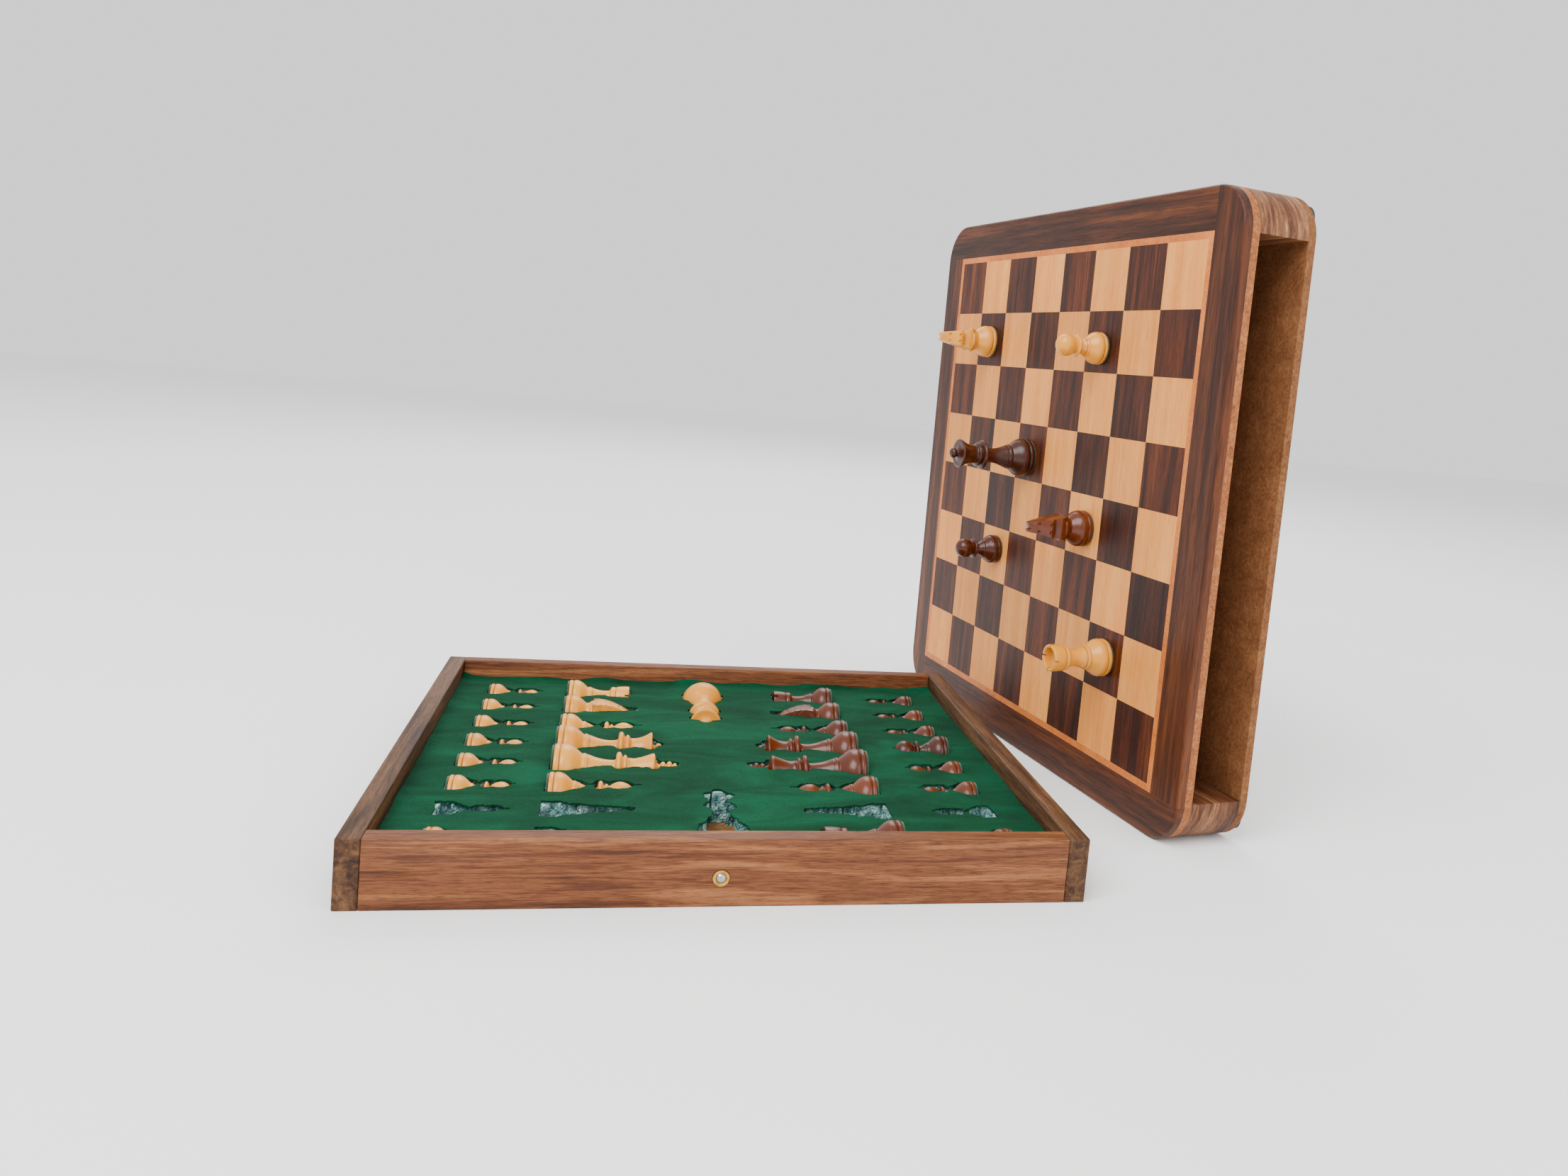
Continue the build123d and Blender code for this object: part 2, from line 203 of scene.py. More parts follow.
def woodFinish(name, look):
    n = Nodes(name)
    if look.get("attribute"):
        place = n.add("ShaderNodeAttribute", {"attribute_name": look["attribute"]}).outputs["Vector"]
    else:
        place = n.add("ShaderNodeTexCoord").outputs["Object"]
        if look.get("onCase"):
            # turned so that X runs along the playing face and Z stays up
            back = Matrix.Rotation(math.pi / 2 - turn, 3, "Z")
            shift = -(back @ standingCase["corner"])
            place = n.add("ShaderNodeMapping", Vector=place,
                Location=tuple(shift + Vector((0.128, 0, -0.0244))),
                          Rotation=(0, 0, math.pi / 2 - turn)).outputs["Vector"]
    tone = None
    if look.get("tiled"):
        # every square is cut from another strip of veneer
        cell = n.add("ShaderNodeVectorMath", {"operation": "MULTIPLY"}, n0=place,
                     n1=(1 / standingCase["square"], 0, 1 / standingCase["square"])).outputs[0]
        cell = n.add("ShaderNodeVectorMath", {"operation": "FLOOR"}, n0=cell).outputs[0]
        chance = n.add("ShaderNodeTexWhiteNoise", {"noise_dimensions": "3D"}, Vector=cell)
        apart = n.add("ShaderNodeVectorMath", {"operation": "SCALE"}, n0=chance.outputs["Color"],
            Scale=0.9).outputs[0]
        place = n.add("ShaderNodeVectorMath", {"operation": "ADD"}, n0=place, n1=apart).outputs[0]
        tone = chance.outputs["Value"]
    stretch = n.add("ShaderNodeVectorMath", {"operation": "MULTIPLY"}, n0=place,
        n1=look["stretch"]).outputs[0]
    bands = n.add("ShaderNodeTexNoise", Vector=stretch, Scale=look["bandScale"], Detail=3.0,
                  Roughness=0.55, Distortion=look.get("wander", 0.6)).outputs["Fac"]
    stripes = n.add("ShaderNodeTexNoise", Vector=stretch, Scale=look["bandScale"] * 4.3, Detail=4.0,
                    Roughness=0.6, Distortion=0.25).outputs["Fac"]
    fibre = n.add("ShaderNodeTexNoise", Vector=stretch, Scale=look["bandScale"] * 22, Detail=2.0,
                  Roughness=0.7).outputs["Fac"]
    figure = n.sum("ADD", n.sum("MULTIPLY", bands, 0.62), n.sum("MULTIPLY", stripes, 0.38))
    colour = n.ramp(figure, look["ramp"])
    pores = n.ramp(fibre, [(0.36, (1, 1, 1)), (0.50, (0, 0, 0))])
    colour = n.mix(n.sum("MULTIPLY", pores, look["poreDepth"]), colour, look["poreColour"])
    if tone is not None:
        shade = n.ramp(tone, [(0.0, (look["toneLow"],) * 3), (1.0, (look["toneHigh"],) * 3)])
        colour = n.mix(1.0, colour, shade, "MULTIPLY")
    cloud = n.add("ShaderNodeTexNoise", Vector=place, Scale=look.get("cloudScale", 14.0),
        Detail=2.0).outputs["Fac"]
    cloudShade = n.ramp(cloud, [(0.3, (look.get("cloudLow", 0.86),) * 3), (0.7, (1.0, 1.0, 1.0))])
    colour = n.mix(1.0, colour, cloudShade, "MULTIPLY")
    # painted shade: the turned grooves are darkened towards the look's groove colour
    if look.get("groove"):
        groove = n.add("ShaderNodeAttribute", {"attribute_name": "paintedGrooveShade"}).outputs["Fac"]
        colour = n.mix(groove, colour, look["groove"])
    n.wire(colour, "Base Color")
    gloss = n.ramp(fibre, [(0.3, (look["rough"] + 0.10,) * 3), (0.7, (look["rough"],) * 3)])
    n.wire(gloss, "Roughness")
    n.shader.inputs["Coat Weight"].default_value = look.get("coat", 0.0)
    n.shader.inputs["Coat Roughness"].default_value = 0.12
    n.shader.inputs["Specular IOR Level"].default_value = look.get("specular", 0.25)
    n.bump(n.sum("ADD", fibre, n.sum("MULTIPLY", stripes, 0.6)), look["bump"], 0.0004)
    return n.material


sheeshamRamp = [
    (0.34, linear(54, 28, 12)),
    (0.44, linear(90, 52, 26)),
    (0.53, linear(118, 72, 38)),
    (0.64, linear(138, 90, 50)),
]
trayRamp = [
    (0.34, linear(88, 54, 32)),
    (0.43, linear(126, 82, 52)),
    (0.48, linear(150, 104, 70)),
    (0.52, linear(128, 84, 54)),
    (0.57, linear(158, 112, 76)),
    (0.66, linear(174, 128, 92)),
]
sideRamp = [
    (0.34, linear(62, 42, 26)),
    (0.45, linear(96, 68, 44)),
    (0.55, linear(120, 90, 62)),
    (0.66, linear(142, 110, 80)),
]

woodLooks = {
    "caseWoodAlong": {
        "onCase": True, "stretch": (0.05, 1, 1), "bandScale": 62.0, "ramp": sheeshamRamp,
        "poreColour": linear(58, 30, 18), "poreDepth": 0.55, "rough": 0.42, "bump": 0.35,
    },
    "caseWoodUpright": {
        "onCase": True, "stretch": (1, 1, 0.05), "bandScale": 62.0, "ramp": sheeshamRamp,
        "poreColour": linear(58, 30, 18), "poreDepth": 0.55, "rough": 0.42, "bump": 0.35,
    },
    "railWood": {
        "onCase": True, "stretch": (0.05, 1.3, 0.22), "bandScale": 95.0, "wander": 1.2, "ramp": [
            (0.36, linear(86, 52, 34)), (0.46, linear(122, 84, 58)), (0.55, linear(158, 118, 86)),
            (0.64, linear(188, 150, 116))],
        "poreColour": linear(70, 42, 28), "poreDepth": 0.4, "rough": 0.5, "bump": 0.3,
    },
    "trayWoodAlong": {
        "stretch": (0.05, 1, 1), "bandScale": 150.0, "wander": 0.9, "ramp": trayRamp, "cloudLow": 0.94,
        "poreColour": linear(66, 38, 20), "poreDepth": 0.5, "rough": 0.48, "bump": 0.4,
    },
    "trayWoodAcross": {
        "stretch": (1, 0.05, 1), "bandScale": 150.0, "wander": 0.9, "ramp": sideRamp, "cloudLow": 0.94,
        "poreColour": linear(60, 38, 22), "poreDepth": 0.5, "rough": 0.5, "bump": 0.4,
    },
    "darkSquares": {
        "onCase": True, "tiled": True, "stretch": (1, 1, 0.05), "bandScale": 150.0,
        "ramp": [(0.32, linear(52, 24, 8)), (0.45, linear(88, 46, 20)), (0.56, linear(116, 66, 32)),
                 (0.68, linear(140, 86, 46))],
        "poreColour": linear(48, 24, 10), "poreDepth": 0.45, "toneLow": 0.62, "toneHigh": 1.12,
        "rough": 0.46, "bump": 0.2,
    },
    "lightSquares": {
        "onCase": True, "tiled": True, "stretch": (1, 1, 0.04), "bandScale": 110.0,
        "ramp": [(0.30, linear(222, 156, 84)), (0.50, linear(234, 172, 100)),
            (0.70, linear(242, 186, 118))],
        "poreColour": linear(204, 134, 66), "poreDepth": 0.4, "toneLow": 0.86, "toneHigh": 1.04,
        "rough": 0.46, "bump": 0.15, "cloudLow": 0.94,
    },
    "inlayWood": {
        "onCase": True, "stretch": (0.3, 1, 0.3), "bandScale": 120.0,
        "ramp": [(0.30, linear(198, 124, 62)), (0.50, linear(214, 142, 78)), (0.70, linear(226, 158, 94))],
        "poreColour": linear(168, 98, 46), "poreDepth": 0.35, "rough": 0.42, "bump": 0.15,
    },
    "boxwood": {
        "attribute": "turnedPlace", "stretch": (1, 1, 0.10), "bandScale": 210.0,
        "ramp": [(0.30, linear(212, 146, 50)), (0.50, linear(230, 170, 66)), (0.70, linear(242, 190, 88))],
        # groove is the painted shade colour laid along the turned grooves
        "poreColour": linear(180, 118, 46), "poreDepth": 0.30, "groove": linear(124, 66, 20),
        "rough": 0.25, "bump": 0.10, "coat": 0.08, "specular": 0.4, "cloudScale": 60.0, "cloudLow": 0.92,
    },
    "rosewood": {
        "attribute": "turnedPlace", "stretch": (1, 1, 0.10), "bandScale": 210.0,
        "ramp": [(0.30, linear(70, 34, 12)), (0.46, linear(108, 56, 22)), (0.60, linear(140, 80, 36)),
                 (0.74, linear(164, 100, 50))],
        # groove is the painted shade colour laid along the turned grooves
        "poreColour": linear(52, 24, 8), "poreDepth": 0.45, "groove": linear(26, 12, 6),
        "rough": 0.24, "bump": 0.12, "coat": 0.08, "specular": 0.35, "cloudScale": 60.0, "cloudLow": 0.85,
    },
}


def fibreboardFinish(name, look):
    n = Nodes(name)
    place = n.add("ShaderNodeTexCoord").outputs["Object"]
    coarse = n.add("ShaderNodeTexNoise", Vector=place, Scale=look["coarse"], Detail=5.0,
        Roughness=0.7).outputs["Fac"]
    fine = n.add("ShaderNodeTexNoise", Vector=place, Scale=look["fine"], Detail=3.0,
        Roughness=0.75).outputs["Fac"]
    chips = n.add("ShaderNodeTexVoronoi", {"feature": "F1"}, Vector=place,
        Scale=look["fine"] * 0.6).outputs["Distance"]
    both = n.sum("ADD", n.sum("MULTIPLY", coarse, 0.45), n.sum("MULTIPLY", fine, 0.55))
    colour = n.ramp(both, look["ramp"])
    colour = n.mix(0.25, colour, n.ramp(chips, [(0.1, (0.25, 0.2, 0.16)), (0.7, (1.0, 1.0, 1.0))]),
        "MULTIPLY")
    n.wire(colour, "Base Color")
    n.wire(n.ramp(fine, [(0.3, (0.92,) * 3), (0.7, (0.74,) * 3)]), "Roughness")
    n.shader.inputs["Specular IOR Level"].default_value = 0.25
    n.bump(both, look["bump"], 0.0006)
    return n.material


def velvetFinish(look):
    n = Nodes("greenVelvet")
    place = n.add("ShaderNodeTexCoord").outputs["Object"]
    brushed = n.add("ShaderNodeVectorMath", {"operation": "MULTIPLY"}, n0=place, n1=(0.45, 1, 1)).outputs[0]
    sweep = n.add("ShaderNodeTexNoise", Vector=brushed, Scale=42.0, Detail=4.0, Roughness=0.6,
        Distortion=0.8).outputs["Fac"]
    pile = n.add("ShaderNodeTexNoise", Vector=place, Scale=1500.0, Detail=2.0, Roughness=0.7).outputs["Fac"]
    colour = n.ramp(sweep, look["ramp"])
    colour = n.mix(0.55, colour, n.ramp(pile, [(0.32, (0.45,) * 3), (0.68, (1.0,) * 3)]), "MULTIPLY")
    n.wire(colour, "Base Color")
    n.wire(n.ramp(pile, [(0.3, (0.95,) * 3), (0.7, (0.8,) * 3)]), "Roughness")
    n.shader.inputs["Sheen Weight"].default_value = look["sheen"]
    n.shader.inputs["Sheen Roughness"].default_value = 0.4
    n.shader.inputs["Sheen Tint"].default_value = (*look["sheenTint"], 1)
    n.shader.inputs["Specular IOR Level"].default_value = 0.1
    n.bump(n.sum("ADD", pile, n.sum("MULTIPLY", sweep, 2.0)), 0.5, 0.0005)
    return n.material


def foamFinish(look):
    n = Nodes("recycledFoam")
    place = n.add("ShaderNodeTexCoord").outputs["Object"]
    cells = n.add("ShaderNodeTexVoronoi", Vector=place, Scale=900.0)
    lumps = n.add("ShaderNodeTexNoise", Vector=place, Scale=260.0, Detail=5.0, Roughness=0.7).outputs["Fac"]
    colour = n.ramp(lumps, look["ramp"])
    flakes = n.add("ShaderNodeTexVoronoi", {"feature": "F1"}, Vector=place, Scale=520.0)
    spark = n.ramp(flakes.outputs["Distance"], [(0.10, (1, 1, 1)), (0.22, (0, 0, 0))])
    colour = n.mix(spark, colour, look["flake"])
    n.wire(colour, "Base Color")
    n.wire(n.sum("MULTIPLY", spark, 0.8), "Metallic")
    n.wire(n.ramp(spark, [(0.0, (0.75,) * 3), (1.0, (0.18,) * 3)]), "Roughness")
    n.bump(n.sum("ADD", cells.outputs["Distance"], lumps), 0.9, 0.0007)
    return n.material


def metalFinish(name, look):
    n = Nodes(name)
    place = n.add("ShaderNodeTexCoord").outputs["Object"]
    wear = n.add("ShaderNodeTexNoise", Vector=place, Scale=look["scale"], Detail=5.0,
        Roughness=0.65).outputs["Fac"]
    n.wire(n.ramp(wear, look["ramp"]), "Base Color")
    n.wire(n.ramp(wear, [(0.3, (look["rough"] + 0.14,) * 3), (0.7, (look["rough"],) * 3)]), "Roughness")
    n.shader.inputs["Metallic"].default_value = 1.0
    n.bump(wear, 0.08, 0.0002)
    return n.material


def rubberFinish():
    n = Nodes("blackRubber")
    place = n.add("ShaderNodeTexCoord").outputs["Object"]
    grit = n.add("ShaderNodeTexNoise", Vector=place, Scale=900.0, Detail=3.0).outputs["Fac"]
    n.wire(n.ramp(grit, [(0.3, (0.008,) * 3), (0.7, (0.022,) * 3)]), "Base Color")
    n.wire(n.ramp(grit, [(0.3, (0.78,) * 3), (0.7, (0.6,) * 3)]), "Roughness")
    n.bump(grit, 0.4, 0.0003)
    return n.material


def feltFinish():
    n = Nodes("greenFelt")
    place = n.add("ShaderNodeTexCoord").outputs["Object"]
    hair = n.add("ShaderNodeTexNoise", Vector=place, Scale=1800.0, Detail=4.0, Roughness=0.8).outputs["Fac"]
    n.wire(n.ramp(hair, [(0.3, linear(8, 58, 38)), (0.7, linear(22, 104, 70))]), "Base Color")
    n.wire(n.ramp(hair, [(0.3, (0.98,) * 3), (0.7, (0.85,) * 3)]), "Roughness")
    n.shader.inputs["Sheen Weight"].default_value = 0.4
    n.bump(hair, 0.6, 0.0003)
    return n.material


finishes = {name: woodFinish(name, look) for name, look in woodLooks.items()}
finishes["backBoard"] = fibreboardFinish("backBoard", {
    "coarse": 90.0, "fine": 700.0, "bump": 0.7,
    "ramp": [(0.34, linear(122, 84, 54)), (0.50, linear(146, 106, 72)), (0.66, linear(166, 126, 90))]})
finishes["baseBoard"] = fibreboardFinish("baseBoard", {
    "coarse": 120.0, "fine": 800.0, "bump": 0.4,
    "ramp": [(0.34, linear(140, 92, 60)), (0.50, linear(172, 120, 82)), (0.66, linear(194, 146, 104))]})
finishes["trayFloor"] = fibreboardFinish("trayFloor", {
    "coarse": 60.0, "fine": 420.0, "bump": 0.3,
    "ramp": [(0.34, linear(132, 96, 62)), (0.50, linear(164, 126, 86)), (0.66, linear(188, 152, 112))]})
finishes["velvet"] = velvetFinish({
    "ramp": [(0.30, linear(0, 80, 58)), (0.50, linear(0, 96, 70)), (0.70, linear(0, 112, 84))],
    "sheen": 0.03, "sheenTint": linear(90, 190, 140)})
finishes["foam"] = foamFinish({
    "ramp": [(0.36, linear(52, 96, 98)), (0.50, linear(128, 176, 174)), (0.62, linear(206, 232, 228))],
    "flake": linear(240, 246, 248)})
finishes["brass"] = metalFinish("brass", {
    "scale": 500.0, "rough": 0.24, "ramp": [(0.3, linear(176, 136, 70)), (0.7, linear(222, 188, 116))]})
finishes["steel"] = metalFinish("steel", {
    "scale": 500.0, "rough": 0.16, "ramp": [(0.3, linear(168, 168, 166)), (0.7, linear(214, 214, 212))]})
finishes["rubber"] = rubberFinish()
finishes["felt"] = feltFinish()

nodeFinishes = {
    "frame_closed_end": "caseWoodUpright", "frame_open_end": "caseWoodUpright",
    "frame_bottom": "caseWoodAlong", "frame_top": "caseWoodAlong",
    "lower_rail": "railWood", "upper_rail": "railWood", "end_rail": "caseWoodUpright",
    "dark_squares": "darkSquares", "light_squares": "lightSquares", "inlay_strips": "inlayWood",
    "back_panel": "backBoard", "base_board": "baseBoard", "steel_sheet": "steel",
    "rubber_feet": "rubber", "tray_bottom": "trayFloor", "catch_sleeve": "brass",
    "catch_ball": "steel", "catch_spring": "steel",
    "tray_front_wall": "trayWoodAlong", "tray_back_wall": "trayWoodAlong",
    "tray_left_wall": "trayWoodAcross", "tray_right_wall": "trayWoodAcross",
}
for node, finishName in nodeFinishes.items():
    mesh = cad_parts[node].data
    for index in range(len(mesh.materials)):
        mesh.materials[index] = finishes[finishName]
stage("finishes on the carried-over parts")


easedBoards = {
    "tray_front_wall": (0.0006, "tray"), "tray_back_wall": (0.0006, "tray"),
    "tray_left_wall": (0.0006, "tray"), "tray_right_wall": (0.0006, "tray"),
    "end_rail": (0.0004, "case"),
}


def easeBoard(node, width, body):
    pick(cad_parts[node])
    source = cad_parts[node]
    board = bpy.data.objects.new(node + "_board", source.data.copy())
    bpy.context.scene.collection.objects.link(board)
    fixNormals(board)
    pick(board)
    bpy.ops.object.mode_set(mode="EDIT")
    bpy.ops.mesh.select_all(action="SELECT")
    bpy.ops.mesh.dissolve_limited(angle_limit=math.radians(3))
    bpy.ops.object.mode_set(mode="OBJECT")
    applyModifier(board, "BEVEL", width=width, segments=3, limit_method="ANGLE",
        angle_limit=math.radians(50))
    smoothed(board, 35)
    dress(board, finishes[nodeFinishes[node]], body)
    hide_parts(node)


for node, (width, body) in easedBoards.items():
    easeBoard(node, width, body)
stage("boards eased")


# each ring is (share of the base radius, share of the height above the felt)
def foot(rise):
    return [
        (0.95, 0.0), (1.0, 0.05 * rise), (1.0, 0.16 * rise), (0.985, 0.20 * rise), (0.945, 0.215 * rise),
        (0.945, 0.235 * rise), (0.985, 0.25 * rise), (1.005, 0.36 * rise), (0.985, 0.50 * rise),
        (0.90, 0.66 * rise), (0.76, 0.81 * rise), (0.66, 0.91 * rise), (0.615, 0.965 * rise),
        (0.60, 0.99 * rise),
    ]


turnedShapes = {
    "king": {
        "height": 0.0560, "base": 0.0111, "lie": 0.0149, "grooves": [0.052, 0.272, 0.60],
        "rings": foot(0.23) + [
            (0.63, 0.235), (0.63, 0.245), (0.585, 0.262), (0.575, 0.268), (0.575, 0.276), (0.52, 0.30),
            (0.44, 0.345), (0.385, 0.40), (0.36, 0.45), (0.37, 0.485), (0.40, 0.492), (0.64, 0.496),
            (0.70, 0.508), (0.70, 0.528), (0.62, 0.540), (0.50, 0.546), (0.50, 0.552), (0.58, 0.558),
            (0.59, 0.572), (0.52, 0.582), (0.45, 0.588), (0.45, 0.596), (0.48, 0.602), (0.43, 0.618),
            (0.45, 0.66), (0.53, 0.72), (0.64, 0.778), (0.67, 0.792), (0.65, 0.806), (0.50, 0.814),
            (0.34, 0.822), (0.24, 0.834), (0.21, 0.846), (0.21, 0.853), (0.30, 0.860), (0.33, 0.876),
            (0.30, 0.892), (0.21, 0.899), (0.21, 0.905), (0.32, 0.912), (0.355, 0.928), (0.32, 0.944),
            (0.21, 0.951), (0.21, 0.957), (0.27, 0.963), (0.285, 0.978), (0.20, 0.995), (0.05, 1.0)],
    },
    "queen": {
        "height": 0.0495, "base": 0.0109, "lie": 0.0149, "grooves": [0.057, 0.30, 0.69],
        "rings": foot(0.25) + [
            (0.64, 0.255), (0.64, 0.268), (0.59, 0.288), (0.575, 0.296), (0.575, 0.304), (0.50, 0.345),
            (0.42, 0.40), (0.37, 0.46), (0.37, 0.52), (0.40, 0.556), (0.44, 0.566), (0.70, 0.572),
            (0.76, 0.586), (0.76, 0.606), (0.66, 0.622), (0.54, 0.630), (0.54, 0.638), (0.62, 0.646),
            (0.63, 0.664), (0.56, 0.677), (0.49, 0.684), (0.47, 0.700), (0.48, 0.74), (0.54, 0.80),
            (0.68, 0.856), (0.755, 0.876), (0.75, 0.890), (0.66, 0.896), (0.46, 0.890), (0.30, 0.898),
            (0.19, 0.914), (0.17, 0.924), (0.25, 0.934), (0.29, 0.956), (0.25, 0.980), (0.14, 0.996),
            (0.04, 1.0)],
    },
    "bishop": {
        "height": 0.0390, "base": 0.0094, "lie": 0.0134, "grooves": [0.062, 0.325],
        "rings": foot(0.27) + [
            (0.62, 0.275), (0.62, 0.288), (0.55, 0.312), (0.54, 0.320), (0.53, 0.330), (0.42, 0.38),
            (0.32, 0.44), (0.28, 0.49), (0.29, 0.522), (0.33, 0.534), (0.57, 0.540), (0.62, 0.556),
            (0.62, 0.578), (0.53, 0.592), (0.41, 0.600), (0.41, 0.610), (0.48, 0.618), (0.49, 0.638),
            (0.40, 0.652), (0.38, 0.664), (0.47, 0.69), (0.57, 0.735), (0.60, 0.78), (0.55, 0.835),
            (0.43, 0.890), (0.28, 0.940), (0.16, 0.970), (0.10, 0.988), (0.03, 1.0)],
    },
    "rook": {
        "height": 0.0325, "base": 0.0096, "lie": 0.0148, "grooves": [0.074, 0.39, 0.775],
        "rings": foot(0.32) + [
            (0.64, 0.328), (0.64, 0.345), (0.60, 0.372), (0.585, 0.384), (0.58, 0.396), (0.50, 0.45),
            (0.45, 0.52), (0.44, 0.60), (0.46, 0.665), (0.49, 0.682), (0.62, 0.694), (0.665, 0.715),
            (0.665, 0.748), (0.64, 0.768), (0.635, 0.776), (0.665, 0.786), (0.69, 0.82), (0.71, 0.90),
            (0.715, 0.975), (0.705, 0.996), (0.66, 1.0), (0.56, 1.0), (0.525, 0.992), (0.51, 0.960),
            (0.49, 0.88), (0.46, 0.850), (0.30, 0.842), (0.05, 0.842)],
    },
    "pawn": {
        "height": 0.0270, "base": 0.0085, "lie": 0.0125, "grooves": [0.078, 0.39],
        "rings": foot(0.34) + [
            (0.60, 0.348), (0.59, 0.362), (0.53, 0.384), (0.515, 0.394), (0.50, 0.404), (0.40, 0.45),
            (0.35, 0.50), (0.37, 0.528), (0.62, 0.540), (0.69, 0.556), (0.69, 0.580), (0.60, 0.600),
            (0.44, 0.612), (0.41, 0.624), (0.50, 0.640), (0.62, 0.690), (0.685, 0.765), (0.68, 0.830),
            (0.59, 0.900), (0.42, 0.955), (0.22, 0.988), (0.06, 1.0)],
    },
}

feltThickness = 0.0007


def liftRings(shape):
    return [(share * shape["base"], feltThickness + rise * (shape["height"] - feltThickness))
            for share, rise in shape["rings"]]


def turnBody(name, rings, around=20):
    deselectAll()
    radius, level = rings[0]
    bpy.ops.mesh.primitive_circle_add(vertices=around, radius=radius, fill_type="NGON",
        location=(0, 0, level))
    body = bpy.context.object
    body.name = name
    bakePlace(body)
    bpy.ops.object.mode_set(mode="EDIT")
    bpy.ops.mesh.select_all(action="SELECT")
    for nextRadius, nextLevel in rings[1:]:
        bpy.ops.mesh.extrude_region_move(TRANSFORM_OT_translate={"value": (0, 0, nextLevel - level)})
        grow = nextRadius / radius
        bpy.ops.transform.resize(value=(grow, grow, 1), center_override=(0, 0, nextLevel))
        radius, level = nextRadius, nextLevel
    bpy.ops.mesh.merge(type="CENTER")
    bpy.ops.object.mode_set(mode="OBJECT")
    fixNormals(body)
    applyModifier(body, "SUBSURF", levels=2, render_levels=2)
    pick(body)
    bpy.ops.object.shade_smooth()
    return body


def markGrain(body, shape):
    # where each point was on the lathe, and how strongly painted shade darkens it along each groove
    place = body.data.attributes.new("turnedPlace", "FLOAT_VECTOR", "POINT")
    shade = body.data.attributes.new("paintedGrooveShade", "FLOAT", "POINT")
    span = shape["height"] - feltThickness
    for index, vertex in enumerate(body.data.vertices):
        place.data[index].vector = vertex.co
        rise = (vertex.co.z - feltThickness) / span
        away = min(abs(rise - groove) for groove in shape["grooves"]) * span
        # painted shade: strongest at a groove's height, fading out within a fraction of a millimetre
        shade.data[index].value = 0.75 * math.exp(-(away / 0.00022) ** 2)


def turnPiece(kind):
    shape = turnedShapes[kind]
    body = turnBody(kind + "_model", liftRings(shape))
    if kind == "rook":
        for heading in (0, 90):
            deselectAll()
            bpy.ops.mesh.primitive_cube_add(size=1, location=(0, 0, shape["height"]))
            saw = bpy.context.object
            saw.scale = (0.030, 0.0010, 0.0046)
            saw.rotation_euler.z = math.radians(heading)
            bakePlace(saw)
            applyModifier(body, "BOOLEAN", operation="DIFFERENCE", object=saw, solver="MANIFOLD")
            bpy.data.objects.remove(saw)
        smoothed(body, 45)
    markGrain(body, shape)
    return body


knightShape = {
    "height": 0.0365, "base": 0.0096, "lie": 0.0144, "grooves": [0.071, 0.385],
    "rings": foot(0.30) + [
        (0.62, 0.308), (0.62, 0.325), (0.66, 0.345), (0.73, 0.362), (0.75, 0.378), (0.735, 0.392),
        (0.74, 0.402), (0.70, 0.416), (0.45, 0.426), (0.05, 0.426)],
    # side view from the chest round the muzzle, ears and mane: forward and up, in millimetres
    "side": [
        (5.6, 14.6), (6.2, 17.0), (5.9, 19.2), (4.4, 20.8), (3.6, 22.2), (4.6, 22.9), (6.6, 22.4),
        (7.9, 23.0), (8.2, 24.6), (7.3, 26.4), (5.6, 28.6), (4.6, 30.8), (4.2, 33.0), (3.6, 36.4),
        (0.4, 36.0), (-1.6, 33.0), (-3.2, 30.0), (-4.6, 27.0), (-5.8, 23.8),
        (-6.6, 20.4), (-6.8, 17.4), (-6.6, 14.6)],
    "halfWidthLow": 0.0064, "halfWidthHigh": 0.0023,
    "eye": (0.0048, 0.0020, 0.0302, 0.0008),
    "nostril": (0.0080, 0.0019, 0.0248, 0.0009),
}


def drawOutline(name, corners):
    # one vertex is extruded from corner to corner, and the loop is closed and filled
    deselectAll()
    bpy.ops.mesh.primitive_plane_add(size=0.001)
    shape = bpy.context.object
    shape.name = name
    bpy.ops.object.mode_set(mode="EDIT")
    bpy.ops.mesh.select_all(action="SELECT")
    bpy.ops.mesh.merge(type="CENTER")
    bpy.ops.mesh.select_all(action="SELECT")
    bpy.ops.transform.translate(value=corners[0])
    for here, there in zip(corners, corners[1:]):
        step = tuple(b - a for a, b in zip(here, there))
        bpy.ops.mesh.extrude_region_move(TRANSFORM_OT_translate={"value": step})
    bpy.ops.mesh.select_all(action="SELECT")
    bpy.ops.mesh.edge_face_add()
    bpy.ops.object.mode_set(mode="OBJECT")
    return shape


def carve(body, tool):
    applyModifier(body, "BOOLEAN", operation="DIFFERENCE", object=tool, solver="MANIFOLD")
    bpy.data.objects.remove(tool)


